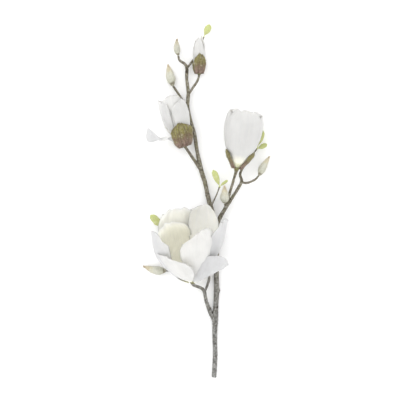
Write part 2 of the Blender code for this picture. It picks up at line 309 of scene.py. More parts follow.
def blade_shape(place, shape, style, seed, rows, columns, thick, relief=None, ragged=0.03):
    """A thin closed blade with waves, ribs, ruffles and rolled margins. thick: millimetres at the
    foot and in the blade. relief(u, v, seed): more height, in millimetres."""
    lean = np.array(shape.lean) - style.close * np.linspace(0, 1, len(shape.lean))
    shape = shape._replace(
        length=shape.length * max(style.trim, 1), width=shape.width * style.fuller,
        tip=max(shape.tip, style.end), lean=tuple(lean),
    )
    v, u = np.meshgrid(np.linspace(0, 1, rows + 1), np.linspace(-1, 1, columns + 1), indexing="ij")
    size = np.abs(u)
    rough = noise_of(seed + 0.37, 3.1 * u, 4.5 * v) + 0.5 * noise_of(seed + 0.71, 8 * u, 11 * v)
    reach = v * (1 - style.bow * size**style.point * v**4)
    reach = np.clip(reach * min(style.trim, 1) * (1 + ragged * rough * v**6), 0, 1)
    wide = u * (1 + ragged * noise_of(seed + 0.9, 6 * v, np.sign(u)) * size**4)
    grid = blade_points(place, shape, wide, v, reach)
    hanging = np.maximum(math.copysign(1, style.drop) * wide, 0)
    hang = abs(style.drop) * hanging * outline(reach, shape)
    grid = grid - (hang * smooth_step(0, 0.4, v) * shape.width / 2)[..., None] * place.axis
    normal, sideways = normals_of(grid)
    fade = smooth_step(0.12, 0.5, v)
    margin = smooth_step(0.68, 1.0, size) ** 1.5 * smooth_step(0.25, 0.75, v)
    roll = margin * np.where(u < 0, style.roll_left, style.roll_right)
    lift = (
        style.wave * fade * noise_of(seed, 1.3 * u, 2.1 * v)
        + style.ruffle * fade * size**3 * noise_of(seed + 1.3, 5.5 * v, 2 * np.sign(u))
        + style.ruffle * v**7 * noise_of(seed + 2.1, 3.2 * u)
        + style.crinkle * smooth_step(0.3, 1, v) * noise_of(seed + 3.3, 7 * u, 8 * v)
        + style.rib * fade * np.cos(13 * u + 2.2 * noise_of(seed + 4.1, 2 * u, 2 * v))
        + style.crease * np.exp(-((u / 0.07) ** 2)) * smooth_step(0.05, 0.4, v) * (1.1 - v)
        + roll
        + style.roll_tip * smooth_step(0.8, 1.0, v) ** 2
    )
    if relief is not None:
        lift = lift + relief(u, v, seed)
    grid = grid + lift[..., None] * normal
    grid = grid - (0.5 * np.abs(roll) * np.sign(u))[..., None] * sideways
    normal, _ = normals_of(grid)
    at_foot, past_it = thick
    depth = at_foot + (past_it - at_foot) * smooth_step(0.0, 0.45, v)
    depth = depth * np.sqrt(np.clip(1 - size**10, 0, 1)) * (0.7 + 0.3 * (1 - size**2))
    outer = grid + (depth / 2)[..., None] * normal
    inner = grid - (depth / 2)[..., None] * normal
    edge = np.zeros(u.shape, bool)
    edge[0, :] = edge[-1, :] = edge[:, 0] = edge[:, -1] = True
    front = np.arange(u.size).reshape(u.shape)
    back = front.copy()
    back[~edge] = u.size + np.arange((~edge).sum())
    outer[edge] = grid[edge]
    faces = []
    for k in range(rows):
        for i in range(columns):
            a, b, c, d = front[k, i], front[k, i + 1], front[k + 1, i + 1], front[k + 1, i]
            faces.append((a, b, c, d))
            a, b, c, d = back[k, i], back[k, i + 1], back[k + 1, i + 1], back[k + 1, i]
            faces.append((d, c, b, a))
    made = Shape()
    made.add(
        np.vstack([outer.reshape(-1, 3), inner[~edge]]),
        faces,
        along=np.append(v.ravel(), v[~edge]),
        across=np.append(u.ravel(), u[~edge]),
        inside=np.append(np.where(edge, 0.5, 0.0).ravel(), np.ones((~edge).sum())),
        tone=style.tone,
    )
    return made, grid, normal, u, v


# ---------------------------------------------------------------- materials


class Paint:
    """A material and short ways to wire its nodes."""

    def __init__(self, name, roughness, **sockets):
        self.material = bpy.data.materials.new(name)
        self.material.use_nodes = True
        self.tree = self.material.node_tree
        self.shader = self.tree.nodes["Principled BSDF"]
        self.set(self.shader, {"Roughness": roughness, "Metallic": 0.0, **sockets})

    def set(self, node, sockets):
        for key, value in sockets.items():
            if isinstance(value, bpy.types.NodeSocket):
                self.tree.links.new(value, node.inputs[key])
            else:
                node.inputs[key].default_value = value

    def add(self, kind, sockets=None, out=0, **settings):
        node = self.tree.nodes.new(kind)
        for key, value in settings.items():
            setattr(node, key, value)
        self.set(node, sockets or {})
        return node.outputs[out]

    def marks(self):
        """What each point carries, in the order of MARKS."""
        return [self.add("ShaderNodeAttribute", out="Fac", attribute_name=m) for m in MARKS]

    def spot(self):
        return self.add("ShaderNodeTexCoord", out="Object")

    def vector(self, x, y, z):
        return self.add("ShaderNodeCombineXYZ", {"X": x, "Y": y, "Z": z})

    def stretched(self, vector, x, y, z):
        return self.add("ShaderNodeVectorMath", {0: vector, 1: (x, y, z)}, operation="MULTIPLY")

    def times(self, a, b):
        return self.maths("MULTIPLY", a, b)

    def maths(self, operation, a, b=0.0):
        return self.add("ShaderNodeMath", {0: a, 1: b}, operation=operation)

    def noise(self, vector, scale, detail=4.0, rough=0.55, distortion=0.0):
        return self.add(
            "ShaderNodeTexNoise",
            {
                "Vector": vector, "Scale": scale, "Detail": detail, "Roughness": rough,
                "Distortion": distortion,
            },
            out="Fac",
        )

    def cells(self, vector, scale):
        return self.add("ShaderNodeTexVoronoi", {"Vector": vector, "Scale": scale}, out="Distance")

    def range(self, value, low, high, to_low=0.0, to_high=1.0):
        return self.add(
            "ShaderNodeMapRange",
            {0: value, 1: low, 2: high, 3: to_low, 4: to_high},
            interpolation_type="SMOOTHSTEP",
        )

    def ramp(self, value, *stops):
        node = self.tree.nodes.new("ShaderNodeValToRGB")
        self.set(node, {"Fac": value})
        held = node.color_ramp.elements
        while len(held) < len(stops):
            held.new(0.5)
        for element, (at, colour) in zip(held, stops):
            element.position = at
            element.color = (*colour, 1.0)
        return node.outputs["Color"]

    def mix(self, share, a, b, blend="MIX"):
        a, b = ((*c, 1.0) if isinstance(c, tuple) else c for c in (a, b))
        return self.add(
            "ShaderNodeMix", {0: share, 6: a, 7: b}, out=2, data_type="RGBA", blend_type=blend
        )

    def fleck(self, colour, field, low, high, share, over):
        """Lays a colour over another by up to that share, as the field goes from low to high."""
        return self.mix(self.range(field, low, high, 0.0, share), colour, over)

    def bump(self, height, strength, distance, under=None):
        sockets = {"Height": height, "Strength": strength, "Distance": distance}
        if under is not None:
            sockets["Normal"] = under
        return self.add("ShaderNodeBump", sockets)

    def finish(self, colour, normal=None, roughness=None):
        self.set(self.shader, {"Base Color": colour})
        if normal is not None:
            self.set(self.shader, {"Normal": normal})
        if roughness is not None:
            self.set(self.shader, {"Roughness": roughness})
        return self.material


def petal_material(name, outer, inner, foot, cream):
    paint = Paint(
        name, 0.5, **{"Subsurface Weight": 0.5, "Subsurface Scale": 0.0025,
                      "Subsurface Radius": (1.0, 1.0, 1.0), "Specular IOR Level": 0.3,
                      "Sheen Weight": 0.12, "Sheen Roughness": 0.45}
    )
    along, across, inside, tone = paint.marks()
    spot = paint.spot()
    lines = paint.vector(paint.times(across, 17), paint.times(along, 2.1), paint.times(tone, 31))
    veins = paint.noise(lines, 1.0, 5.0, 0.6, 0.4)
    net = paint.noise(paint.stretched(lines, 2.6, 7.0, 1.0), 1.0, 3.0, 0.6)
    clouds = paint.noise(spot, 55.0, 3.0)
    grain = paint.noise(spot, 1500.0, 3.0)
    outside = paint.ramp(
        along, (0.0, foot), (0.05, foot), (0.11, cream), (0.24, outer), (1.0, outer)
    )
    within = paint.ramp(along, (0.0, foot), (0.16, cream), (0.5, inner), (1.0, outer))
    warm = paint.ramp(along, (0.0, foot), (0.14, cream), (0.9, cream), (1.0, inner))
    within = paint.mix(tone, within, warm)
    colour = paint.mix(inside, outside, within)
    vein = paint.mix(inside, (0.57, 0.57, 0.57), (0.82, 0.80, 0.68))
    colour = paint.fleck(colour, veins, 0.42, 0.62, 0.30, vein)
    colour = paint.fleck(colour, net, 0.55, 0.75, 0.16, (0.62, 0.62, 0.60))
    colour = paint.mix(
        paint.range(clouds, 0.4, 0.7, 0.0, 0.2), colour, (0.78, 0.78, 0.78), "MULTIPLY"
    )
    bruise = paint.times(paint.range(along, 0.95, 1.0), paint.range(clouds, 0.5, 0.66))
    colour = paint.mix(paint.times(bruise, 0.25), colour, (0.56, 0.48, 0.34))
    normal = paint.bump(veins, 0.55, 0.0009)
    normal = paint.bump(net, 0.3, 0.0004, normal)
    normal = paint.bump(grain, 0.25, 0.00015, normal)
    return paint.finish(colour, normal, paint.range(veins, 0.3, 0.7, 0.42, 0.60))


def bark_material():
    paint = Paint("bark_grey_brown", 0.85, **{"Specular IOR Level": 0.25})
    _, scar, flock, ring = paint.marks()
    spot = paint.spot()
    grain = paint.noise(paint.stretched(spot, 1.0, 0.28, 1.0), 800.0, 5.0, 0.7, 0.6)
    grit = paint.noise(spot, 280.0, 2.0, 0.6)
    patches = paint.noise(paint.stretched(spot, 1.0, 0.5, 1.0), 110.0, 4.0, 0.6)
    lichen = paint.noise(spot, 210.0, 5.0, 0.75)
    pores = paint.cells(paint.stretched(spot, 1.0, 1.7, 1.0), 420.0)
    speck = paint.cells(spot, 900.0)
    young = paint.ramp(
        grain, (0.30, (0.060, 0.050, 0.036)), (0.5, (0.165, 0.145, 0.105)),
        (0.70, (0.32, 0.295, 0.23)),
    )
    old = paint.ramp(
        grain, (0.36, (0.07, 0.07, 0.066)), (0.5, (0.17, 0.17, 0.163)),
        (0.64, (0.40, 0.40, 0.385)),
    )
    colour = paint.mix(flock, young, old)
    younger = paint.maths("SUBTRACT", 1.0, flock)
    green = paint.times(paint.range(patches, 0.42, 0.66, 0.0, 0.55), younger)
    colour = paint.mix(green, colour, (0.21, 0.20, 0.11))
    colour = paint.fleck(colour, grit, 0.54, 0.62, 0.42, (0.46, 0.45, 0.43))
    colour = paint.fleck(colour, grit, 0.46, 0.38, 0.75, (0.055, 0.050, 0.042))
    colour = paint.fleck(colour, lichen, 0.56, 0.70, 0.35, (0.50, 0.49, 0.45))
    colour = paint.fleck(colour, pores, 0.16, 0.07, 0.6, (0.46, 0.40, 0.31))
    colour = paint.mix(
        paint.times(paint.range(speck, 0.32, 0.12, 0.0, 0.8), flock), colour,
        (0.11, 0.105, 0.10),
    )
    colour = paint.mix(paint.times(ring, 0.55), colour, (0.08, 0.065, 0.05))
    colour = paint.mix(scar, colour, (0.035, 0.026, 0.02))
    normal = paint.bump(grain, 0.8, 0.0006)
    normal = paint.bump(grit, 0.5, 0.0004, normal)
    normal = paint.bump(pores, 0.35, 0.0004, normal)
    return paint.finish(colour, normal, paint.range(lichen, 0.3, 0.7, 0.72, 0.95))


def bract_material():
    paint = Paint(
        "bract_velvet", 0.9, **{"Specular IOR Level": 0.2, "Sheen Weight": 0.6,
                                "Sheen Roughness": 0.4, "Sheen Tint": (0.8, 0.75, 0.6, 1.0)}
    )
    along, across, inside, tone = paint.marks()
    spot = paint.spot()
    lines = paint.vector(paint.times(across, 9.0), paint.times(along, 1.6), paint.times(tone, 17.0))
    veins = paint.noise(lines, 1.0, 4.0, 0.6, 0.3)
    mottle = paint.noise(spot, 240.0, 4.0, 0.65)
    pile = paint.noise(paint.stretched(spot, 1.0, 0.3, 1.0), 2600.0, 3.0, 0.6)
    outside = paint.ramp(
        paint.maths("ADD", along, paint.range(mottle, 0.3, 0.7, -0.18, 0.18)),
        (0.0, (0.12, 0.06, 0.05)), (0.16, (0.27, 0.18, 0.155)), (0.36, (0.18, 0.12, 0.075)),
        (0.56, (0.19, 0.165, 0.055)), (0.82, (0.26, 0.245, 0.08)), (1.0, (0.12, 0.10, 0.045)),
    )
    within = paint.ramp(
        along, (0.0, (0.26, 0.20, 0.15)), (0.5, (0.27, 0.24, 0.12)), (1.0, (0.3, 0.28, 0.12))
    )
    colour = paint.mix(inside, outside, within)
    colour = paint.fleck(colour, veins, 0.46, 0.56, 0.6, (0.085, 0.06, 0.04))
    colour = paint.fleck(colour, mottle, 0.54, 0.70, 0.5, (0.46, 0.41, 0.35))
    colour = paint.fleck(colour, mottle, 0.44, 0.32, 0.6, (0.075, 0.055, 0.03))
    colour = paint.fleck(colour, pile, 0.5, 0.7, 0.4, (0.50, 0.46, 0.36))
    normal = paint.bump(veins, 0.6, 0.0008)
    normal = paint.bump(pile, 0.7, 0.0003, normal)
    return paint.finish(colour, normal, paint.range(mottle, 0.3, 0.7, 0.8, 0.98))


def down_material():
    paint = Paint(
        "bud_down", 0.9, **{"Specular IOR Level": 0.25, "Sheen Weight": 0.8,
                            "Sheen Roughness": 0.35, "Sheen Tint": (0.95, 0.93, 0.84, 1.0)}
    )
    along, _, inside, tone = paint.marks()
    spot = paint.spot()
    mottle = paint.noise(spot, 260.0, 4.0, 0.6)
    silk = paint.noise(paint.stretched(spot, 1.0, 0.22, 1.0), 1900.0, 4.0, 0.65, 0.3)
    skin = paint.ramp(
        paint.maths("ADD", along, paint.range(mottle, 0.3, 0.7, -0.12, 0.12)),
        (0.0, (0.20, 0.18, 0.11)), (0.14, (0.44, 0.44, 0.35)), (0.5, (0.62, 0.62, 0.54)),
        (0.78, (0.64, 0.59, 0.42)), (1.0, (0.46, 0.33, 0.17)),
    )
    hair = paint.ramp(
        along, (0.0, (0.60, 0.59, 0.50)), (0.6, (0.76, 0.75, 0.66)), (1.0, (0.72, 0.60, 0.42)),
    )
    colour = paint.mix(inside, skin, hair)
    colour = paint.fleck(colour, silk, 0.45, 0.7, 0.55, (0.70, 0.69, 0.60))
    colour = paint.mix(paint.times(tone, 0.8), colour, (0.11, 0.085, 0.05))
    normal = paint.bump(silk, 0.8, 0.0004)
    return paint.finish(colour, normal, paint.range(mottle, 0.3, 0.7, 0.75, 0.95))


def leaf_material():
    paint = Paint(
        "young_leaf", 0.45, **{"Subsurface Weight": 0.12, "Subsurface Scale": 0.0008,
                               "Subsurface Radius": (0.6, 1.0, 0.3), "Specular IOR Level": 0.35}
    )
    along, across, inside, tone = paint.marks()
    spot = paint.spot()
    size = paint.maths("ABSOLUTE", across)
    fans = paint.maths("SUBTRACT", paint.times(along, SIDE_VEINS), size)
    wave = paint.maths("PINGPONG", fans, 0.5)
    veins = paint.maths("MAXIMUM", paint.range(wave, 0.10, 0.0), paint.range(size, 0.09, 0.0))
    net = paint.cells(spot, 1500.0)
    mottle = paint.noise(spot, 180.0, 4.0, 0.6)
    green = paint.ramp(
        paint.maths("ADD", along, paint.range(mottle, 0.3, 0.7, -0.2, 0.2)),
        (0.0, (0.46, 0.48, 0.16)), (0.5, (0.47, 0.51, 0.15)), (1.0, (0.36, 0.43, 0.11)),
    )
    pale = paint.ramp(along, (0.0, (0.54, 0.55, 0.26)), (1.0, (0.58, 0.60, 0.26)))
    colour = paint.mix(inside, pale, green)
    colour = paint.fleck(colour, net, 0.25, 0.6, 0.35, (0.28, 0.36, 0.08))
    colour = paint.fleck(colour, mottle, 0.52, 0.66, 0.5, (0.66, 0.66, 0.42))
    colour = paint.mix(paint.times(veins, 0.7), colour, (0.62, 0.68, 0.30))
    blush = paint.times(paint.range(size, 0.82, 1.0), tone)
    colour = paint.mix(blush, colour, (0.40, 0.24, 0.10))
    normal = paint.bump(veins, 0.5, 0.0004)
    normal = paint.bump(net, 0.35, 0.0002, normal)
    return paint.finish(colour, normal, paint.range(mottle, 0.3, 0.7, 0.36, 0.55))


def cone_material():
    paint = Paint("carpels", 0.6, **{"Subsurface Weight": 0.1, "Subsurface Scale": 0.0008})
    along, _, _, tone = paint.marks()
    spot = paint.spot()
    mottle = paint.noise(spot, 700.0, 4.0, 0.6)
    carpel = paint.ramp(
        along, (0.0, (0.28, 0.34, 0.10)), (0.55, (0.45, 0.50, 0.18)), (0.8, (0.55, 0.45, 0.22)),
        (1.0, (0.42, 0.22, 0.12)),
    )
    stamen = paint.ramp(
        along, (0.0, (0.46, 0.20, 0.20)), (0.35, (0.66, 0.58, 0.38)), (1.0, (0.74, 0.68, 0.46)),
    )
    colour = paint.mix(tone, carpel, stamen)
    colour = paint.fleck(colour, mottle, 0.45, 0.7, 0.4, (0.24, 0.20, 0.10))
    return paint.finish(colour, paint.bump(mottle, 0.5, 0.0003))


def receptacle_material():
    paint = Paint("flower_foot", 0.7, **{"Specular IOR Level": 0.25})
    along, *_ = paint.marks()
    spot = paint.spot()
    mottle = paint.noise(spot, 420.0, 4.0, 0.65)
    grain = paint.noise(paint.stretched(spot, 1.0, 0.4, 1.0), 1200.0, 4.0, 0.6)
    colour = paint.ramp(
        paint.maths("ADD", along, paint.range(mottle, 0.3, 0.7, -0.15, 0.15)),
        (0.0, (0.12, 0.10, 0.06)), (0.3, (0.20, 0.19, 0.09)), (0.6, (0.40, 0.42, 0.16)),
        (1.0, (0.52, 0.54, 0.24)),
    )
    colour = paint.fleck(colour, grain, 0.55, 0.72, 0.5, (0.12, 0.10, 0.06))
    return paint.finish(colour, paint.bump(grain, 0.6, 0.0004))


WHITE = {"outer": (0.625, 0.62, 0.605), "inner": (0.93, 0.925, 0.88),
         "foot": (0.64, 0.64, 0.42), "cream": (0.94, 0.915, 0.76)}
PETAL = petal_material("petal_white", **WHITE)
# A greyer copy of the petal white, as painted shade, for the petals that lie in shade and the
# fallen one
SHADED_WHITE = {**WHITE, "outer": (0.535, 0.535, 0.54), "inner": (0.60, 0.60, 0.605),
        "cream": (0.68, 0.67, 0.61)}
SHADED_PETAL = petal_material("petal_painted_shade", **SHADED_WHITE)
BARK = bark_material()
BRACT = bract_material()
DOWN = down_material()
LEAF = leaf_material()
CONE = cone_material()
FOOT = receptacle_material()

# ---------------------------------------------------------------- the branch

STEMS = (
    "main_stem", "lower_shoot", "lower_spur", "left_bud_twig", "right_shoot", "right_bud_twig",
    "goblet_flower_stalk", "middle_bud_twig", "middle_leaf_twig", "half_open_flower_stalk",
    "upper_bud_twig", "top_flower_stalk", "top_leaf_twig",
)
SWELL = 0.24  # mm that closes the gaps between stems, and that smoothing takes back
VOXEL = 0.65
# Knots and scars, each on the bark nearest to x, y, z: then reach, height, and how dark it is.
KNOTS = [
    (9.5, 153, 6.5, 3.2, 1.6, 0.15),
    (6.2, 124, 9.5, 2.6, 0.6, 1.0),
    (-4.2, 123, 9.0, 2.2, 0.5, 1.0),
    (-4.0, 114, 9.2, 1.8, 0.45, 0.95),
    (1.5, 98, 10.0, 2.6, 0.5, 0.2),
    (-37, 427, 13, 2.6, 0.9, 0.35),
    (-48, 538, 15.5, 3.0, 0.9, 0.9),
    (-45, 470, 15, 2.4, 0.8, 0.5),
    (6.2, 208, 10.5, 1.5, 0.5, 0.6),
    (-21, 365, 14.5, 2.2, 0.7, 0.5),
    (0.5, 246, 11.0, 1.6, 0.5, 0.6),
    (29, 314, 16.5, 1.8, 0.5, 0.5),
    (48.5, 347, 18.5, 2.0, 0.6, 0.5),
    (47, 360, 17.0, 1.7, 0.4, 0.6),
    (66, 390, 12.5, 1.3, 0.4, 0.5),
    (-20, 157, 22.5, 1.8, 0.5, 0.5),
    (-31, 162, 34.0, 1.6, 0.4, 0.4),
    (-60, 492, 12.5, 1.3, 0.35, 0.5),
    (-27, 318, 10, 1.4, 0.4, 0.3),
    (2.0, 60, 8.8, 1.4, 0.35, 0.5),
]
# Rings round the main stem: how far from the cut end, how deep, and how wide.
RINGS = [
    (36.9, 0.5, 0.9), (66.7, 0.45, 0.9), (92, 0.35, 1.3), (97, 0.3, 1.0), (107, 0.2, 1.6),
    (118, 0.3, 1.0), (123, 0.35, 1.2), (197, 0.2, 0.8), (199.5, 0.2, 0.8), (236, 0.2, 0.8),
    (286, 0.25, 0.8), (289, 0.2, 0.7), (352, 0.3, 0.8), (355, 0.25, 0.8), (357.5, 0.2, 0.7),
    (417, 0.25, 0.7), (419.5, 0.2, 0.7), (461, 0.25, 0.8), (463.5, 0.2, 0.7), (541, 0.3, 0.8),
    (544, 0.3, 0.8), (546.5, 0.2, 0.7), (313, 0.2, 0.7), (329, 0.2, 0.7), (380, 0.2, 0.7),
    (396, 0.2, 0.7), (507, 0.2, 0.7), (573, 0.2, 0.6), (583, 0.2, 0.6),
]
FLOCK_ENDS, FLOCK_STARTS = 330.0, 60.0  # the pale bark fades out between these


def branch_mesh():
    """The CAD's stems grown together into one fine closed mesh."""
    joined = bmesh.new()
    for name in STEMS:
        joined.from_mesh(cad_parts[name].data)
    bmesh.ops.remove_doubles(joined, verts=joined.verts, dist=1e-6)
    joined.normal_update()
    for vertex in joined.verts:
        vertex.co += vertex.normal * SWELL * MM
    data = bpy.data.meshes.new("branch_rough")
    joined.to_mesh(data)
    joined.free()
    rough = link("branch_rough", data)
    remesh = rough.modifiers.new("voxels", "REMESH")
    remesh.mode = "VOXEL"
    remesh.voxel_size = VOXEL * MM
    smooth = rough.modifiers.new("smooth", "SMOOTH")
    smooth.factor = 0.5
    smooth.iterations = 9
    graph = bpy.context.evaluated_depsgraph_get()
    fine = bpy.data.meshes.new_from_object(rough.evaluated_get(graph))
    bpy.data.objects.remove(rough)
    return fine


def make_branch():
    data = branch_mesh()
    data.name = "branch"
    count = len(data.vertices)
    points, normals = np.empty(count * 3), np.empty(count * 3)
    data.vertices.foreach_get("co", points)
    data.vertex_normals.foreach_get("vector", normals)
    places = (points.reshape(-1, 3) - CUT_END) / MM
    normals = normals.reshape(-1, 3)
    y = places[:, 1]
    flock = 1 - smooth_step(FLOCK_STARTS, FLOCK_ENDS, y + 12 * noise_at(places * 0.03))
    lift = (
        0.30 * noise_at(places * 0.055, 1)
        + 0.22 * noise_at(places * (0.30, 0.15, 0.30), 2)
        + 0.16 * noise_at(places * (0.9, 0.22, 0.9), 3)
        + 0.10 * noise_at(places * 1.1, 4) * (0.5 + flock)
    )
    wrap = np.exp(-(((y - 108) / 13) ** 4))
    lift += 0.45 * wrap * noise_at(places * (0.35, 0.8, 0.35), 5) + 0.35 * wrap
    ring = np.zeros(count)
    slant = y + 1.2 * noise_at(places * 0.25, 6)
    for at, depth, width in RINGS:
        near = np.exp(-(((slant - at) / width) ** 2))
        lift += depth * (0.55 * np.exp(-(((slant - at - 1.7 * width) / width) ** 2)) - near)
        ring = np.maximum(ring, near * min(1.0, depth / 0.35))
    scar = np.zeros(count)
    for *place, reach, height, dark in KNOTS:
        centre = places[np.argmin(np.linalg.norm(places - place, axis=1))]
        away = np.linalg.norm(places - centre, axis=1)
        hump = np.exp(-((away / reach) ** 2))
        lift += height * hump * (1 + 0.4 * noise_at(places * 0.9, 7)) * (away < 4 * reach)
        lip = np.exp(-(((away - 0.2 * reach) / (0.75 * reach)) ** 4))
        scar = np.maximum(scar, dark * lip)
    data.vertices.foreach_set("co", (points.reshape(-1, 3) + normals * lift[:, None] * MM).ravel())
    marks = (y / 600, scar, flock, ring)
    place_piece(object_of("branch", data, marks, BARK), "bark", *STEMS)


# ---------------------------------------------------------------- flowers


def place_of(base, heading, front=UP):
    axis, front = unit(heading), np.asarray(front, float)
    return Place(np.array(base, float), axis, unit(front - front.dot(axis) * axis))


OPEN_FLOWER = place_of((-37, 174, 42), (-0.09, 0.92, 0.39))
GOBLET_FLOWER = place_of((39.4, 369, 34.4), (0.17, 0.985, 0.0))
HALF_OPEN_FLOWER = place_of((-52.6, 411.5, 26.1), (-0.33, 0.944, 0.0))
TOP_FLOWER = place_of((-26, 537, 17), (-0.01, 1.0, 0.02))

OPEN_PETALS = [
    # inner whorl
    (
        Blade(42, 6.2, 2.2, 113, 81, (50, 16, -10), claw=0.14),
        Look(
            crease=1.6, fuller=1.16, roll_tip=-4, ruffle=3.4, end=0.55, wave=2.8, bow=0.13,
            drop=-0.1,
        ),
    ),
    (
        Blade(136, 6.2, 2.2, 134, 74, (50, 18, 0), claw=0.14),
        Look(tone=0.05, wave=2.8, fuller=1.06, ruffle=3.6, roll_tip=-2, end=0.55),
    ),
    (
        Blade(230, 6.2, 2.2, 108, 80, (56, 23, -14), claw=0.14),
        Look(
            tone=1.0, roll_tip=4.5, roll_right=3, crease=-1, fuller=1.1, ruffle=3.6, end=0.6,
            wave=3,
        ),
    ),
    # middle whorl
    (
        Blade(195, 6.4, -0.5, 130, 80, (57, 26, -2)),
        Look(tone=0.55, roll_left=2, roll_right=3.5, ruffle=3.6, bow=0.05, end=0.66, fuller=1.06),
    ),
    (
        Blade(99, 6.4, -0.5, 124, 70, (58, 29, 2), twist=30),
        Look(
            tone=0.2, crease=1.6, fuller=1.3, wave=2.6, ruffle=3, end=0.5, bow=0.06, drop=0.25,
            painted_shade=True,
        ),
    ),
    (
        Blade(305, 6.4, -0.5, 84, 78, (62, 38, 4), twist=-6),
        Look(tone=0.1, crease=1.4, fuller=1.24, ruffle=3, wave=2.6),
    ),
    # outer whorl
    (
        Blade(54, 6.6, -3.2, 86, 72, (64, 44, 14), tip=0.2, twist=34),
        Look(rib=1, bow=0.3, fuller=1.2, wave=2.2, trim=0.86, close=26, drop=0.3, painted_shade=True),
    ),
    (
        Blade(158, 6.6, -3.2, 136, 62, (58, 26, -2)),
        Look(tone=0.1, ruffle=4.5, crinkle=1.6, roll_tip=-3, fuller=1.1, end=0.6),
    ),
    (
        Blade(262, 6.6, -3.2, 126, 70, (66, 38, -16), twist=-26),
        Look(
            tone=0.2, crease=2.4, ruffle=4, fuller=1.4, end=0.5, wave=2.4, trim=0.96, close=14,
            drop=-0.2, painted_shade=True,
        ),
    ),
]
GOBLET_PETALS = [
    (
        Blade(turn, 4.5, 1.5, 104, 58, (32, 15, -22), claw=0.13, lap=0.8),
        Look(roll_left=-1.2, roll_right=-1.2, end=0.6, fuller=1.3, ruffle=1.6, crinkle=0.7),
    )
    for turn in (60, 180, 300)
] + [
    (
        Blade(turn, 5.6, -0.5, 106, 66, (36, 17, -22), claw=0.14, lap=0.8),
        Look(
            tone=0.2, crease=1.0, roll_left=-2.6, roll_right=-3.0, fuller=1.32, end=0.62,
            bow=0.07, ruffle=1.8, crinkle=0.8,
        ),
    )
    for turn in (0, 120, 240)
]
HALF_OPEN_PETALS = [
    (
        Blade(turn, 4.4, 1.5, 88, 42, (30, 11, -20), tip=0.2, lap=0.9),
        Look(bow=0.16, fuller=1.65, roll_left=-1.5, roll_right=-1.5, end=0.3, ruffle=1.4),
    )
    for turn in (15, 140, 262)
] + [
    (
        Blade(turn, 5.8, -1.0, length, 42, (36, 14, -14), claw=0.18, tip=0.2, lap=0.9),
        Look(
            bow=0.16, tone=0.2, crease=1.2, fuller=fuller, roll_left=-2, roll_right=-2, end=0.3,
            ruffle=1.4,
        ),
    )
    for turn, length, fuller in ((62, 80, 1.5), (195, 82, 1.1))
] + [
    # the one that has fallen open
    (
        Blade(290, 7.2, -3, 78, 24, (36, 38, 38, 46, 112, 85, 15, 0, 5), arch=14, twist=-50),
        Look(
            wave=0.8, ruffle=1.0, bow=0.3, crease=0.6, fuller=1.2, crinkle=0.6, tone=0, drop=0.35,
            painted_shade=True,
        ),
    )
]
TOP_PETALS = [
    (
        Blade(turn, 3.4, 1.0, length, 18, (24, 0, -24), claw=0.22, widest=0.45, tip=0.12, lap=0.5),
        Look(
            wave=0.5, ruffle=0.5, crinkle=0.3, bow=0.4, point=2, tone=0.2, crease=0.4, fuller=1.35,
            trim=1.12, roll_left=-0.9, roll_right=-0.9,
        ),
    )
    for turn, length in ((0, 56), (120, 60), (240, 54))
]
GOBLET_BRACTS = [
    Blade(300, 7.2, -2.5, 36, 18, (38, 36, 18), claw=0.45),
    Blade(75, 7.2, -2.5, 38, 20, (38, 34, 16), claw=0.45),
]
HALF_OPEN_BRACTS = [
    Blade(10, 8.2, -6, 46, 44, (50, 20, 0), claw=0.45, widest=0.55, tip=0.5),
    Blade(185, 9.2, -6, 38, 36, (50, 20, 0), claw=0.45, widest=0.55, tip=0.5),
]
TOP_BRACTS = [
    Blade(10, 6.0, -3, 37, 22, (40, 6, -10), claw=0.5, widest=0.5, tip=0.5, lap=1.0),
    Blade(190, 6.5, -3, 30, 22, (40, 6, -6), claw=0.5, widest=0.5, tip=0.5, lap=1.0),
]
# Each flower's place, petals, bracts, and the length and radius of its foot.
FLOWERS = {
    "open_flower": (OPEN_FLOWER, OPEN_PETALS, [], (15, 7.0)),
    "goblet_flower": (GOBLET_FLOWER, GOBLET_PETALS, GOBLET_BRACTS, (14, 5.2)),
    "half_open_flower": (HALF_OPEN_FLOWER, HALF_OPEN_PETALS, HALF_OPEN_BRACTS, (14, 5.2)),
    "top_flower": (TOP_FLOWER, TOP_PETALS, TOP_BRACTS, (11, 4.2)),
}
NARROW = 30  # a petal narrower than this needs fewer columns
NARROW_GRID, BROAD_GRID, BRACT_GRID, LEAF_GRID = (44, 18), (46, 30), (30, 26), (40, 24)
# How thick a blade is at its foot and past it.
PETAL_DEPTHS, BRACT_DEPTHS, LEAF_DEPTHS = (1.5, 0.5), (2.2, 1.2), (1.1, 0.45)
BRACT_CLAW = 0.8  # the bracts' feet are nearly as wide as they are, so their cup ends flat
HAIRS_PER_BRACT = 1100
BRACT_LOOK = Look(wave=1.0, ruffle=1.6, crinkle=0.7, rib=0.35, crease=0.5, bow=0.22, tone=0.5)


def bract_relief(u, v, seed):
    return 0.25 * noise_of(seed + 5.5, 9 * u, 4 * v) + 0.12 * noise_of(seed + 6.5, 22 * u, 12 * v)


def make_petal(node, place, shape, style, seed):
    rows, columns = NARROW_GRID if shape.width < NARROW else BROAD_GRID
    made, *_ = blade_shape(place, shape, style, seed, rows, columns, PETAL_DEPTHS)
    # petals that lie in shade take the greyer white, as painted shade
    lit_or_shaded = SHADED_PETAL if style.painted_shade else PETAL
    piece = made.build(node + "_fine", lit_or_shaded, shift_onto(node, plain_blade(place, shape)))
    place_piece(piece, "petal", node)


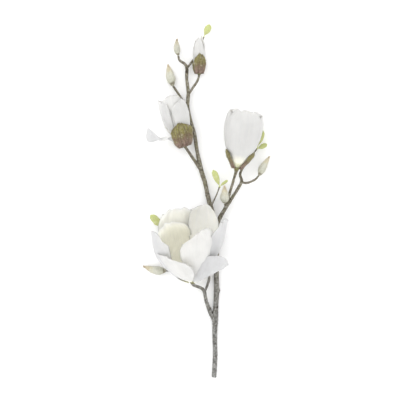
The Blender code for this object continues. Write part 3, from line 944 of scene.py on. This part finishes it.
def make_bract(node, place, shape, seed):
    random = np.random.default_rng(int(seed * 100))
    made, grid, normal, u, v = blade_shape(
        place, shape._replace(claw=BRACT_CLAW), BRACT_LOOK, seed, *BRACT_GRID, BRACT_DEPTHS,
        bract_relief, ragged=0.09,
    )
    along = np.gradient(grid, axis=0)
    picks = random.integers(0, u.size, HAIRS_PER_BRACT)
    rows, columns = np.unravel_index(picks, u.shape)
    headings = along[rows, columns] / np.linalg.norm(along[rows, columns], axis=1)[:, None]
    headings = headings + 0.55 * normal[rows, columns] + random.normal(0, 0.22, (len(picks), 3))
    roots = grid[rows, columns] + 0.35 * normal[rows, columns]
    roots = roots + random.normal(0, 0.35, (len(picks), 3))
    lengths = random.uniform(0.9, 2.0, len(picks))
    strands(made, roots, headings, lengths, 0.06, random, v[rows, columns])
    piece = made.build(node + "_velvet", BRACT, shift_onto(node, plain_blade(place, shape)))
    place_piece(piece, "bract", node)


def make_receptacle(flower, place, length, radius):
    """The swollen foot that the petals grow from, with the rings that fallen scales leave."""
    share = np.linspace(0, 1, 40)
    bulge = np.sin(math.pi * np.clip(share, 0.03, 0.97)) ** 0.35
    rings = 0.25 * np.sin(share * 42) * (share < 0.5)
    spine = place.base + (share[:, None] * length - 0.55 * length) * place.axis
    points, faces, along, around = tube(spine, radius * bulge * (0.8 + 0.25 * share) + rings, 36)
    out = noise_at(points * 0.55, radius)
    points = points + 0.21 * out[:, None] * unit(place.front)
    made = Shape()
    made.add(points, faces, along=along, across=around)
    place_piece(made.build(flower + "_foot", FOOT), "cone")


def make_flowers():
    for number, (flower, (place, petals, bracts, _)) in enumerate(FLOWERS.items(), 1):
        for i, (shape, style) in enumerate(petals, 1):
            make_petal(f"{flower}_petal_{i}", place, shape, style, 10 * number + i)
        for i, shape in enumerate(bracts, 1):
            make_bract(f"{flower}_bract_{i}", place, shape, 100 * number + i)
    for flower, (place, *_, foot) in FLOWERS.items():
        make_receptacle(flower, place, *foot)


# Each cone's place, rise, length, radius, carpels, stamens, and how tall the stamens are.
CONES = {
    "open_flower_cone": (OPEN_FLOWER, 3.9, 26, 4.6, 46, 60, 8.0),
    "goblet_flower_cone": (GOBLET_FLOWER, 5.0, 16, 2.6, 26, 30, 4.5),
    "half_open_flower_cone": (HALF_OPEN_FLOWER, 5.0, 14, 2.6, 26, 30, 4.5),
}
LARGEST_CONE = 4.6  # its radius
# A carpel's hook: how far out and up each point is, and its radius.
HOOK = [(0, 0, 0.55), (0.5, 0.8, 0.8), (0.95, 1.9, 0.5), (1.6, 2.6, 0.25), (2.2, 2.3, 0.14)]
CONE_SHAPE = [(0.0, 0.75), (0.2, 1.0), (0.6, 0.9), (0.85, 0.6), (1.0, 0.2)]
GOLDEN_ANGLE = math.radians(137.508)


def make_cone(node, place, rise, length, radius, carpels, stamens, tall):
    """Carpels with hooked styles in a spiral, and a ring of stamens below them."""
    random = np.random.default_rng(int(length * 10))
    made = Shape()
    at, size = zip(*CONE_SHAPE)
    share = np.linspace(0, 1, 16)
    plain = place.base + (rise + length * share)[:, None] * place.axis
    core, faces, along, _ = tube(plain, 0.72 * radius * np.interp(share, at, size), 18)
    made.add(core, faces, along=along * 0.4, tone=0.0)
    right = np.cross(place.axis, place.front)
    for i in range(carpels):
        share_up = 0.14 + 0.84 * i / carpels
        out = math.cos(i * GOLDEN_ANGLE) * place.front + math.sin(i * GOLDEN_ANGLE) * right
        reach = radius * float(np.interp(share_up, at, size))
        start = place.base + (rise + length * share_up) * place.axis + 0.45 * reach * out
        hook = [(*(start + ahead * out + up * place.axis), thick) for ahead, up, thick in HOOK]
        path = smooth_line(hook, 3)
        path[:, 3] *= 0.6 + 0.4 * radius / LARGEST_CONE
        points, faces, along, _ = tube(path[:, :3], path[:, 3], 8)
        made.add(points, faces, along=along, tone=0.0)
    for i in range(stamens):
        out = math.cos(i * GOLDEN_ANGLE) * place.front + math.sin(i * GOLDEN_ANGLE) * right
        level = 0.5 + 3.2 * i / stamens
        start = place.base + (rise - 0.5 + level) * place.axis + 0.75 * radius * out
        lean = 0.5 + 0.25 * random.random()
        height = tall * (0.85 + 0.3 * random.random())
        tip = start + height * unit(place.axis + out * lean * 0.7)
        middle = (start + tip) / 2 + 0.4 * out
        path = smooth_line([(*start, 0.32), (*middle, 0.5), (*tip, 0.24)], 4)
        points, faces, along, _ = tube(path[:, :3], path[:, 3], 6)
        made.add(points, faces, along=along, tone=1.0)
    place_piece(made.build(node + "_carpels", CONE), "cone", node)


# ---------------------------------------------------------------- buds and leaves

BUDS = {
    "left_bud": ((-84.4, 188, 9), (-104, 189, 7.1), (-125, 196, 8), 7.5),
    "middle_bud": ((18, 307, 28.2), (18.5, 320, 31), (18, 337, 32), 8.0),
    "right_bud": ((79.0, 355.8, 16), (87, 372, 15), (97.3, 389, 16), 6.8),
    "upper_left_bud": ((-72.5, 513.7, 10), (-77, 532, 8), (-81, 551, 9), 8.2),
    "top_bud": ((-62.9, 566.5, 13), (-65.5, 581, 12), (-65, 596, 13), 5.6),
}
BUD_SHAPE = [
    (0.0, 0.30), (0.05, 0.52), (0.12, 0.72), (0.22, 0.92), (0.32, 0.99), (0.44, 0.96),
    (0.55, 0.86), (0.68, 0.68), (0.8, 0.46), (0.92, 0.22), (1.0, 0.08),
]
CAD_BUD_SHAPE = [(0.0, 0.34), (0.12, 0.72), (0.32, 1.0), (0.55, 0.86), (0.8, 0.46), (1.0, 0.14)]
BUD_SIDES = 36
HAIRS_PER_BUD = 1500


def make_bud(node, start, middle, tip, radius, seed):
    """A bud in two overlapping downy scales, under silky hairs that lie towards its tip."""
    random = np.random.default_rng(seed)
    spine = smooth_line([start, middle, tip], 22)
    share = np.linspace(0, 1, len(spine))
    at, size = zip(*BUD_SHAPE)
    radii = 0.93 * radius * np.interp(share, at, size)
    points, faces, along, around = tube(spine, radii, BUD_SIDES)
    centre = np.vstack([np.repeat(spine, BUD_SIDES, axis=0), spine[:1], spine[-1:]])
    out = points - centre
    out /= np.linalg.norm(out, axis=1)[:, None] + 1e-9
    split = (around - 0.30 - 0.16 * along) % 1.0
    seam = np.minimum(split, 1 - split)
    lip = np.exp(-((seam / 0.035) ** 2)) * smooth_step(0.04, 0.2, along)
    step = 0.55 * (0.5 - split) * smooth_step(0.05, 0.3, along) * (1 - along)
    foot_ring = np.exp(-(((along - 0.09) / 0.025) ** 2))
    lift = step - 0.5 * lip + 0.35 * noise_at(points * 0.28, seed) - 0.7 * foot_ring
    lift += 0.16 * noise_at(points * 1.1, seed + 1)
    points = points + lift[:, None] * out
    made = Shape()
    made.add(points, faces, along=along, tone=np.maximum(0.55 * lip, foot_ring))
    picks = random.integers(0, len(spine) * BUD_SIDES, HAIRS_PER_BUD)
    picks = picks[(along[picks] > 0.1) & (along[picks] < 0.985)]
    heading = np.repeat(np.gradient(spine, axis=0), BUD_SIDES, axis=0)
    heading /= np.linalg.norm(heading, axis=1)[:, None]
    ways = heading[picks] + 0.34 * out[picks] + random.normal(0, 0.12, (len(picks), 3))
    roots = points[picks] - 0.15 * out[picks] + random.normal(0, 0.25, (len(picks), 3))
    lengths = random.uniform(2.2, 4.6, len(picks)) * (1.1 - 0.45 * along[picks])
    strands(made, roots, ways, lengths, 0.085, random, along[picks], droop=0.12, tone=0.0)
    plain = smooth_line([start, middle, tip], 5)
    at, size = zip(*CAD_BUD_SHAPE)
    plain_radii = radius * np.interp(np.linspace(0, 1, len(plain)), at, size)
    cad_like = tube(plain, plain_radii, 10)[0]
    place_piece(made.build(node + "_downy", DOWN, shift_onto(node, cad_like)), "down", node)


def leaf(length, width, lean, claw, arch):
    """A flat blade that is widest half way along."""
    return Blade(0, 0, 0, length, width, lean, claw, widest=0.5, hug=0, arch=arch, lap=0)


LEAVES = {
    "left_leaf": (
        place_of((-90, 265.5, 17), (-0.72, 0.69, 0.1)),
        leaf(30, 15, (12, 0, -10), claw=0.12, arch=8),
    ),
    "middle_leaf": (
        place_of((9.2, 338.5, 20.6), (-0.36, 0.9, 0.12)),
        leaf(29, 10.5, (8, 0, -10), claw=0.14, arch=7),
    ),
    "middle_leaflet": (
        place_of((11.5, 337.8, 20.8), (0.78, 0.6, 0.15)),
        leaf(16, 5, (8, 0, -10), claw=0.3, arch=5),
    ),
    "right_leaf_upper": (
        place_of((77.5, 408, 11.4), (0.32, 0.94, 0.1), (-0.6, 0, 0.8)),
        leaf(28, 11, (6, 0, -8), claw=0.14, arch=7),
    ),
    "right_leaf_lower": (
        place_of((78, 403.5, 11.4), (0.9, 0.42, 0.12)),
        leaf(17, 9, (8, 0, -12), claw=0.2, arch=6),
    ),
    "top_leaf": (
        place_of((-16.6, 603, 7.4), (0.45, 0.88, 0.12)),
        leaf(21, 12, (4, 0, -10), claw=0.16, arch=7),
    ),
}
LEAF_LOOK = Look(
    wave=0.8, ruffle=1.0, crinkle=0.3, rib=0.0, crease=0.0, point=2.0, tone=0.35, fuller=1.06
)


def leaf_relief(u, v, seed):
    """A raised midrib below, sunk above, and side veins that sweep towards the tip."""
    fan = (v * SIDE_VEINS - np.abs(u)) % 1.0
    ridge = np.exp(-((np.minimum(fan, 1 - fan) / 0.14) ** 2)) * (1 - np.abs(u)) ** 0.4
    midrib = np.exp(-((u / 0.11) ** 2)) * (1.15 - v)
    return -0.75 * midrib - 0.28 * ridge * smooth_step(0.03, 0.15, v)


def make_leaf(node, place, shape, seed):
    made, *_ = blade_shape(place, shape, LEAF_LOOK, seed, *LEAF_GRID, LEAF_DEPTHS, leaf_relief)
    back = place.base - 4.5 * place.axis - 0.6 * place.front
    neck, blade_foot = place.base - 1.5 * place.axis, place.base + 3 * place.axis
    path = smooth_line([(*back, 0.95), (*neck, 0.8), (*blade_foot, 0.5)], 5)
    points, faces, along, _ = tube(path[:, :3], path[:, 3], 12)
    made.add(points, faces, along=along * 0.1, across=0.0, inside=0.3, tone=0.3)
    piece = made.build(node + "_veined", LEAF, shift_onto(node, plain_blade(place, shape)))
    place_piece(piece, "leaf", node)


# ---------------------------------------------------------------- stage

SKY_STRENGTH = 1.32
LIGHTS = {"key": ((-1.3, 1.1, 2.4), 13.0, 1.6), "fill": ((1.8, -1.4, 2.2), 3.0, 2.4)}
FLOOR_REACH = 6.0
CAMERA_PLACE = (-0.011, 0.0013, 2.65)  # it looks straight down
LENS = 135.0


def make_stage():
    world = bpy.data.worlds.new("soft_studio")
    bpy.context.scene.world = world
    world.use_nodes = True
    sky = world.node_tree.nodes["Background"]
    sky.inputs["Color"].default_value = (1.0, 1.0, 1.0, 1.0)
    sky.inputs["Strength"].default_value = SKY_STRENGTH

    floor_mesh = bpy.data.meshes.new("floor")
    corners = [(-1, -1, 0), (1, -1, 0), (1, 1, 0), (-1, 1, 0)]
    floor_mesh.from_pydata([Vector(c) * FLOOR_REACH for c in corners], [], [(0, 1, 2, 3)])
    paper = Paint(
        "floor_paper", 0.95, **{"Base Color": (0.98, 0.98, 0.98, 1.0), "Specular IOR Level": 0.1}
    )
    floor_mesh.materials.append(paper.material)
    floor = link("floor", floor_mesh)

    for name, (place, energy, size) in LIGHTS.items():
        light = bpy.data.lights.new(name, "AREA")
        light.energy = energy
        light.size = size
        made = link(name, light)
        made.location = place
        made.rotation_euler = (-Vector(place)).to_track_quat("-Z", "Y").to_euler()

    camera = bpy.data.cameras.new("camera")
    camera.type = "PERSP"
    camera.lens = LENS
    camera.clip_end = 50.0
    view = link("camera", camera)
    view.location = CAMERA_PLACE
    bpy.context.scene.camera = view
    bpy.context.scene.view_settings.view_transform = "Standard"


make_branch()
make_flowers()
for node, cone in CONES.items():
    make_cone(node, *cone)
for seed, (node, (start, middle, tip, radius)) in enumerate(BUDS.items(), 71):
    make_bud(node, start, middle, tip, radius, seed)
for seed, (node, (place, shape)) in enumerate(LEAVES.items(), 91):
    make_leaf(node, place, shape, seed)
make_stage()
